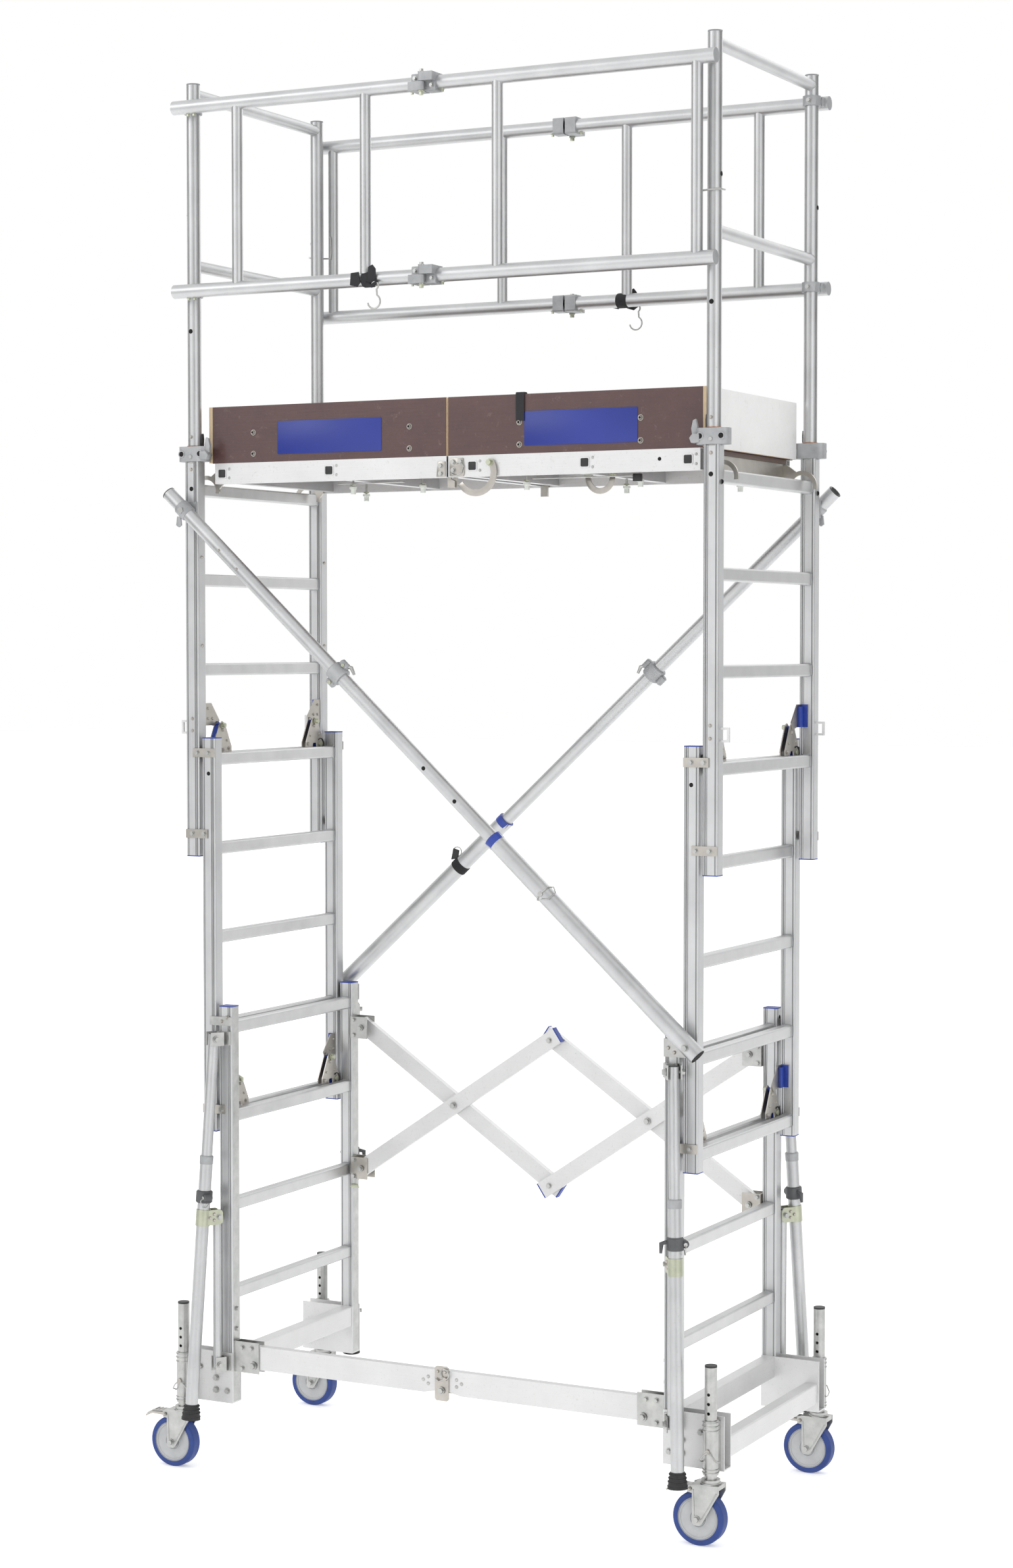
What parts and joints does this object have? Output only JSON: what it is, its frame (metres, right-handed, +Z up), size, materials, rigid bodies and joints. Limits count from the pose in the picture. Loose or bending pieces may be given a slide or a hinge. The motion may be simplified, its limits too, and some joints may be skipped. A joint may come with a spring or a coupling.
{
  "type": "mobile tower scaffold",
  "caption": "Folding mobile tower scaffold: telescopic ladder ends on castors, diagonal braces, a folding deck with toe boards, hinged guard rails and outrigger legs.",
  "frame": {"origin": "on the floor, at the middle of the tower's box", "axes": "+Z up; +X along the tower's length, from the end without to the end with the deck hatch; +Y from the front, folding-bar side to the back, scissor side"},
  "size_m": [1.8768, 0.99, 4.08],
  "materials": {
    "mill_aluminium": "drawn aluminium tube and box section, satin",
    "phenolic_plywood": "dark brown phenolic-faced plywood",
    "wheel_polyurethane": "blue polyurethane tyre on a light grey hub",
    "zinc_plated_steel": "bright zinc-plated pressed steel"
  },
  "bodies": {
    "left_base": {"left_base_frame": "mill_aluminium"},
    "left_mid": {"left_mid_frame": "mill_aluminium"},
    "left_top": {"left_top_frame": "mill_aluminium", "left_end_guard": "mill_aluminium"},
    "left_mid_latch": {"left_mid_latch": "zinc_plated_steel"},
    "left_top_latch": {"left_top_latch": "zinc_plated_steel"},
    "left_fold_bar": {"left_fold_bar": "mill_aluminium"},
    "left_scissor_falling_bar": {"left_scissor_falling_bar": "mill_aluminium"},
    "left_scissor_rising_bar": {"left_scissor_rising_bar": "mill_aluminium"},
    "left_scissor_slider": {"left_scissor_slider": "zinc_plated_steel"},
    "left_deck_half": {"left_deck_half": "phenolic_plywood"},
    "front_left_leg_upper_tube": {"front_left_leg_upper_tube": "mill_aluminium"},
    "front_left_leg_lower_tube": {"front_left_leg_lower_tube": "mill_aluminium"},
    "front_left_leg_strut": {"front_left_leg_strut": "mill_aluminium"},
    "front_left_castor_stem": {"front_left_castor_stem": "zinc_plated_steel"},
    "front_left_castor_fork": {"front_left_castor_fork": "zinc_plated_steel"},
    "front_left_castor_wheel": {"front_left_castor_wheel": "wheel_polyurethane"},
    "front_left_brake_pedal": {"front_left_brake_pedal": "zinc_plated_steel"},
    "back_left_leg_upper_tube": {"back_left_leg_upper_tube": "mill_aluminium"},
    "back_left_leg_lower_tube": {"back_left_leg_lower_tube": "mill_aluminium"},
    "back_left_leg_strut": {"back_left_leg_strut": "mill_aluminium"},
    "back_left_castor_stem": {"back_left_castor_stem": "zinc_plated_steel"},
    "back_left_castor_fork": {"back_left_castor_fork": "zinc_plated_steel"},
    "back_left_castor_wheel": {"back_left_castor_wheel": "wheel_polyurethane"},
    "back_left_brake_pedal": {"back_left_brake_pedal": "zinc_plated_steel"},
    "right_base": {"right_base_frame": "mill_aluminium"},
    "right_mid": {"right_mid_frame": "mill_aluminium"},
    "right_top": {"right_top_frame": "mill_aluminium", "right_end_guard": "mill_aluminium"},
    "right_mid_latch": {"right_mid_latch": "zinc_plated_steel"},
    "right_top_latch": {"right_top_latch": "zinc_plated_steel"},
    "right_fold_bar": {"right_fold_bar": "mill_aluminium"},
    "right_scissor_falling_bar": {"right_scissor_falling_bar": "mill_aluminium"},
    "right_scissor_rising_bar": {"right_scissor_rising_bar": "mill_aluminium"},
    "right_scissor_slider": {"right_scissor_slider": "zinc_plated_steel"},
    "right_deck_half": {"right_deck_half": "phenolic_plywood"},
    "front_right_leg_upper_tube": {"front_right_leg_upper_tube": "mill_aluminium"},
    "front_right_leg_lower_tube": {"front_right_leg_lower_tube": "mill_aluminium"},
    "front_right_leg_strut": {"front_right_leg_strut": "mill_aluminium"},
    "front_right_castor_stem": {"front_right_castor_stem": "zinc_plated_steel"},
    "front_right_castor_fork": {"front_right_castor_fork": "zinc_plated_steel"},
    "front_right_castor_wheel": {"front_right_castor_wheel": "wheel_polyurethane"},
    "front_right_brake_pedal": {"front_right_brake_pedal": "zinc_plated_steel"},
    "back_right_leg_upper_tube": {"back_right_leg_upper_tube": "mill_aluminium"},
    "back_right_leg_lower_tube": {"back_right_leg_lower_tube": "mill_aluminium"},
    "back_right_leg_strut": {"back_right_leg_strut": "mill_aluminium"},
    "back_right_castor_stem": {"back_right_castor_stem": "zinc_plated_steel"},
    "back_right_castor_fork": {"back_right_castor_fork": "zinc_plated_steel"},
    "back_right_castor_wheel": {"back_right_castor_wheel": "wheel_polyurethane"},
    "back_right_brake_pedal": {"back_right_brake_pedal": "zinc_plated_steel"},
    "deck_hatch": {"deck_hatch": "phenolic_plywood"},
    "front_brace_upper_tube": {"front_brace_upper_tube": "mill_aluminium"},
    "front_brace_lower_tube": {"front_brace_lower_tube": "mill_aluminium"},
    "back_brace_upper_tube": {"back_brace_upper_tube": "mill_aluminium"},
    "back_brace_lower_tube": {"back_brace_lower_tube": "mill_aluminium"},
    "front_guard_left_half": {"front_guard_left_half": "mill_aluminium"},
    "front_guard_right_half": {"front_guard_right_half": "mill_aluminium"},
    "back_guard_right_half": {"back_guard_right_half": "mill_aluminium"},
    "back_guard_left_half": {"back_guard_left_half": "mill_aluminium"}
  },
  "joints": [
    {"name": "telescope", "type": "slide", "parent": "left_base", "child": "left_mid", "axis": [0, 0, 1], "range_m": [-0.527, 0]},
    {"name": "left_top_slide", "type": "slide", "parent": "left_mid", "child": "left_top", "axis": [0, 0, 1], "range_m": [-0.527, 0]},
    {"name": "right_mid_slide", "type": "slide", "parent": "right_base", "child": "right_mid", "axis": [0, 0, 1], "range_m": [-0.527, 0]},
    {"name": "right_top_slide", "type": "slide", "parent": "right_mid", "child": "right_top", "axis": [0, 0, 1], "range_m": [-0.527, 0]},
    {"name": "fold", "type": "hinge", "parent": "left_base", "child": "left_fold_bar", "pos_m": [-0.59435, -0.345, 0.318], "axis": [0, -1, 0], "range_deg": [0, 75]},
    {"name": "fold_middle", "type": "hinge", "parent": "left_fold_bar", "child": "right_fold_bar", "pos_m": [0.03765, -0.345, 0.318], "axis": [0, -1, 0], "range_deg": [-156, 0]},
    {"name": "fold_right_end", "type": "hinge", "parent": "right_fold_bar", "child": "right_base", "pos_m": [0.66965, -0.345, 0.318], "axis": [0, -1, 0], "range_deg": [0, 78]},
    {"name": "deck_left_hook", "type": "hinge", "parent": "left_top", "child": "left_deck_half", "pos_m": [-0.79235, 0, 2.8965], "axis": [0, -1, 0], "range_deg": [0, 64.31]},
    {"name": "deck_middle", "type": "hinge", "parent": "left_deck_half", "child": "right_deck_half", "pos_m": [0.03765, 0, 2.8965], "axis": [0, -1, 0], "range_deg": [-128.62, 0]},
    {"name": "hatch_hinge", "type": "hinge", "parent": "right_deck_half", "child": "deck_hatch", "pos_m": [0.48265, 0.258, 2.975], "axis": [1, 0, 0], "range_deg": [-95, 0]},
    {"name": "left_scissor_bracket_pivot", "type": "hinge", "parent": "left_base", "child": "left_scissor_falling_bar", "pos_m": [-0.62235, 0.345, 1.24], "axis": [0, 1, 0], "range_deg": [0, 42.09]},
    {"name": "left_scissor_cross", "type": "hinge", "parent": "left_scissor_falling_bar", "child": "left_scissor_rising_bar", "pos_m": [-0.29235, 0.345, 1.0175], "axis": [0, -1, 0], "range_deg": [0, 84.18]},
    {"name": "left_scissor_slide", "type": "slide", "parent": "left_base", "child": "left_scissor_slider", "axis": [0, 0, -1], "range_m": [0, 0.3278]},
    {"name": "right_scissor_bracket_pivot", "type": "hinge", "parent": "right_base", "child": "right_scissor_falling_bar", "pos_m": [0.69765, 0.345, 1.24], "axis": [0, -1, 0], "range_deg": [0, 42.09]},
    {"name": "right_scissor_cross", "type": "hinge", "parent": "right_scissor_falling_bar", "child": "right_scissor_rising_bar", "pos_m": [0.36765, 0.345, 1.0175], "axis": [0, 1, 0], "range_deg": [0, 84.18]},
    {"name": "right_scissor_slide", "type": "slide", "parent": "right_base", "child": "right_scissor_slider", "axis": [0, 0, -1], "range_m": [0, 0.3278]},
    {"name": "front_brace_coupler", "type": "hinge", "parent": "left_top", "child": "front_brace_upper_tube", "pos_m": [-0.79235, -0.405, 2.83563], "axis": [0, -1, 0], "range_deg": [0, 27.18]},
    {"name": "front_brace_slide", "type": "slide", "parent": "front_brace_upper_tube", "child": "front_brace_lower_tube", "axis": [0.7375, 0, -0.6754], "range_m": [-0.527, 0]},
    {"name": "front_guard_swing", "type": "hinge", "parent": "left_top", "child": "front_guard_left_half", "pos_m": [-0.79235, -0.35, 3.739], "axis": [0, 0, -1], "range_deg": [0, 90]},
    {"name": "front_guard_fold", "type": "hinge", "parent": "front_guard_left_half", "child": "front_guard_right_half", "pos_m": [0.01765, -0.436, 3.739], "axis": [0, 0, -1], "range_deg": [0, 170]},
    {"name": "back_brace_coupler", "type": "hinge", "parent": "right_top", "child": "back_brace_upper_tube", "pos_m": [0.86765, 0.405, 2.83563], "axis": [0, 1, 0], "range_deg": [0, 27.18]},
    {"name": "back_brace_slide", "type": "slide", "parent": "back_brace_upper_tube", "child": "back_brace_lower_tube", "axis": [-0.7375, 0, -0.6754], "range_m": [-0.527, 0]},
    {"name": "back_guard_swing", "type": "hinge", "parent": "right_top", "child": "back_guard_right_half", "pos_m": [0.86765, 0.35, 3.739], "axis": [0, 0, -1], "range_deg": [0, 90]},
    {"name": "back_guard_fold", "type": "hinge", "parent": "back_guard_right_half", "child": "back_guard_left_half", "pos_m": [0.05765, 0.436, 3.739], "axis": [0, 0, -1], "range_deg": [0, 170]},
    {"name": "left_mid_latch_pivot", "type": "hinge", "parent": "left_mid", "child": "left_mid_latch", "pos_m": [-0.70985, 0.268, 1.15], "axis": [-1, 0, 0], "range_deg": [0, 25]},
    {"name": "left_top_latch_pivot", "type": "hinge", "parent": "left_top", "child": "left_top_latch", "pos_m": [-0.76485, 0.268, 2.204], "axis": [-1, 0, 0], "range_deg": [0, 25]},
    {"name": "front_left_leg_swing", "type": "hinge", "parent": "left_base", "child": "front_left_leg_upper_tube", "pos_m": [-0.70191, -0.4028, 1.286], "axis": [-0.8222, 0.5692, 0], "range_deg": [0, 16]},
    {"name": "front_left_leg_slide", "type": "slide", "parent": "front_left_leg_upper_tube", "child": "front_left_leg_lower_tube", "axis": [0.0396, 0.0571, 0.9976], "range_m": [-0.14, 0]},
    {"name": "front_left_strut_pivot", "type": "hinge", "parent": "left_base", "child": "front_left_leg_strut", "pos_m": [-0.69737, -0.39625, 0.32], "axis": [0.8222, -0.5692, 0], "range_deg": [0, 17.93]},
    {"name": "front_left_castor_height", "type": "slide", "parent": "left_base", "child": "front_left_castor_stem", "axis": [0, 0, 1], "range_m": [-0.15, 0]},
    {"name": "front_left_castor_swivel", "type": "hinge", "parent": "front_left_castor_stem", "child": "front_left_castor_fork", "pos_m": [-0.81435, -0.4, 0.172], "axis": [0, 0, 1], "continuous": true},
    {"name": "front_left_wheel_spin", "type": "hinge", "parent": "front_left_castor_fork", "child": "front_left_castor_wheel", "pos_m": [-0.84435, -0.4, 0.075], "axis": [0, 1, 0], "continuous": true},
    {"name": "front_left_pedal_press", "type": "hinge", "parent": "front_left_castor_fork", "child": "front_left_brake_pedal", "pos_m": [-0.86435, -0.4, 0.157], "axis": [0, -1, 0], "range_deg": [0, 14]},
    {"name": "back_left_leg_swing", "type": "hinge", "parent": "left_base", "child": "back_left_leg_upper_tube", "pos_m": [-0.70191, 0.4028, 1.286], "axis": [0.8222, 0.5692, 0], "range_deg": [0, 16]},
    {"name": "back_left_leg_slide", "type": "slide", "parent": "back_left_leg_upper_tube", "child": "back_left_leg_lower_tube", "axis": [0.0396, -0.0571, 0.9976], "range_m": [-0.14, 0]},
    {"name": "back_left_strut_pivot", "type": "hinge", "parent": "left_base", "child": "back_left_leg_strut", "pos_m": [-0.69737, 0.39625, 0.32], "axis": [-0.8222, -0.5692, 0], "range_deg": [0, 17.93]},
    {"name": "back_left_castor_height", "type": "slide", "parent": "left_base", "child": "back_left_castor_stem", "axis": [0, 0, 1], "range_m": [-0.15, 0]},
    {"name": "back_left_castor_swivel", "type": "hinge", "parent": "back_left_castor_stem", "child": "back_left_castor_fork", "pos_m": [-0.81435, 0.4, 0.172], "axis": [0, 0, 1], "continuous": true},
    {"name": "back_left_wheel_spin", "type": "hinge", "parent": "back_left_castor_fork", "child": "back_left_castor_wheel", "pos_m": [-0.84435, 0.4, 0.075], "axis": [0, 1, 0], "continuous": true},
    {"name": "back_left_pedal_press", "type": "hinge", "parent": "back_left_castor_fork", "child": "back_left_brake_pedal", "pos_m": [-0.86435, 0.4, 0.157], "axis": [0, -1, 0], "range_deg": [0, 14]},
    {"name": "right_mid_latch_pivot", "type": "hinge", "parent": "right_mid", "child": "right_mid_latch", "pos_m": [0.78515, 0.268, 1.15], "axis": [-1, 0, 0], "range_deg": [0, 25]},
    {"name": "right_top_latch_pivot", "type": "hinge", "parent": "right_top", "child": "right_top_latch", "pos_m": [0.84015, 0.268, 2.204], "axis": [-1, 0, 0], "range_deg": [0, 25]},
    {"name": "front_right_leg_swing", "type": "hinge", "parent": "right_base", "child": "front_right_leg_upper_tube", "pos_m": [0.77721, -0.4028, 1.286], "axis": [-0.8222, -0.5692, 0], "range_deg": [0, 16]},
    {"name": "front_right_leg_slide", "type": "slide", "parent": "front_right_leg_upper_tube", "child": "front_right_leg_lower_tube", "axis": [-0.0396, 0.0571, 0.9976], "range_m": [-0.14, 0]},
    {"name": "front_right_strut_pivot", "type": "hinge", "parent": "right_base", "child": "front_right_leg_strut", "pos_m": [0.77267, -0.39625, 0.32], "axis": [0.8222, 0.5692, 0], "range_deg": [0, 17.93]},
    {"name": "front_right_castor_height", "type": "slide", "parent": "right_base", "child": "front_right_castor_stem", "axis": [0, 0, 1], "range_m": [-0.15, 0]},
    {"name": "front_right_castor_swivel", "type": "hinge", "parent": "front_right_castor_stem", "child": "front_right_castor_fork", "pos_m": [0.88965, -0.4, 0.172], "axis": [0, 0, 1], "continuous": true},
    {"name": "front_right_wheel_spin", "type": "hinge", "parent": "front_right_castor_fork", "child": "front_right_castor_wheel", "pos_m": [0.85965, -0.4, 0.075], "axis": [0, 1, 0], "continuous": true},
    {"name": "front_right_pedal_press", "type": "hinge", "parent": "front_right_castor_fork", "child": "front_right_brake_pedal", "pos_m": [0.83965, -0.4, 0.157], "axis": [0, -1, 0], "range_deg": [0, 14]},
    {"name": "back_right_leg_swing", "type": "hinge", "parent": "right_base", "child": "back_right_leg_upper_tube", "pos_m": [0.77721, 0.4028, 1.286], "axis": [0.8222, -0.5692, 0], "range_deg": [0, 16]},
    {"name": "back_right_leg_slide", "type": "slide", "parent": "back_right_leg_upper_tube", "child": "back_right_leg_lower_tube", "axis": [-0.0396, -0.0571, 0.9976], "range_m": [-0.14, 0]},
    {"name": "back_right_strut_pivot", "type": "hinge", "parent": "right_base", "child": "back_right_leg_strut", "pos_m": [0.77267, 0.39625, 0.32], "axis": [-0.8222, 0.5692, 0], "range_deg": [0, 17.93]},
    {"name": "back_right_castor_height", "type": "slide", "parent": "right_base", "child": "back_right_castor_stem", "axis": [0, 0, 1], "range_m": [-0.15, 0]},
    {"name": "back_right_castor_swivel", "type": "hinge", "parent": "back_right_castor_stem", "child": "back_right_castor_fork", "pos_m": [0.88965, 0.4, 0.172], "axis": [0, 0, 1], "continuous": true},
    {"name": "back_right_wheel_spin", "type": "hinge", "parent": "back_right_castor_fork", "child": "back_right_castor_wheel", "pos_m": [0.85965, 0.4, 0.075], "axis": [0, 1, 0], "continuous": true},
    {"name": "back_right_pedal_press", "type": "hinge", "parent": "back_right_castor_fork", "child": "back_right_brake_pedal", "pos_m": [0.83965, 0.4, 0.157], "axis": [0, -1, 0], "range_deg": [0, 14]}
  ],
  "couplings": [
    {"joint": "left_top_slide", "follows": "telescope", "ratio": 1},
    {"joint": "right_mid_slide", "follows": "telescope", "ratio": 1},
    {"joint": "right_top_slide", "follows": "telescope", "ratio": 1},
    {"joint": "fold_middle", "follows": "fold", "ratio": -2},
    {"joint": "fold_right_end", "follows": "fold", "ratio": 1},
    {"joint": "deck_left_hook", "follows": "fold", "ratio": 0.8575},
    {"joint": "deck_middle", "follows": "fold", "ratio": -1.715},
    {"joint": "left_scissor_bracket_pivot", "follows": "fold", "ratio": 0.56113},
    {"joint": "left_scissor_cross", "follows": "fold", "ratio": 1.1223},
    {"joint": "left_scissor_slide", "follows": "fold", "m_per_rad": 0.25028},
    {"joint": "right_scissor_bracket_pivot", "follows": "fold", "ratio": 0.56113},
    {"joint": "right_scissor_cross", "follows": "fold", "ratio": 1.1223},
    {"joint": "right_scissor_slide", "follows": "fold", "m_per_rad": 0.25028},
    {"joint": "front_brace_coupler", "follows": "telescope", "rad_per_m": -0.89973},
    {"joint": "front_brace_slide", "follows": "telescope", "ratio": 1},
    {"joint": "back_brace_coupler", "follows": "telescope", "rad_per_m": -0.89973},
    {"joint": "back_brace_slide", "follows": "telescope", "ratio": 1},
    {"joint": "front_left_strut_pivot", "follows": "front_left_leg_swing", "ratio": 1.12},
    {"joint": "back_left_strut_pivot", "follows": "back_left_leg_swing", "ratio": 1.12},
    {"joint": "front_right_strut_pivot", "follows": "front_right_leg_swing", "ratio": 1.12},
    {"joint": "back_right_strut_pivot", "follows": "back_right_leg_swing", "ratio": 1.12}
  ]
}
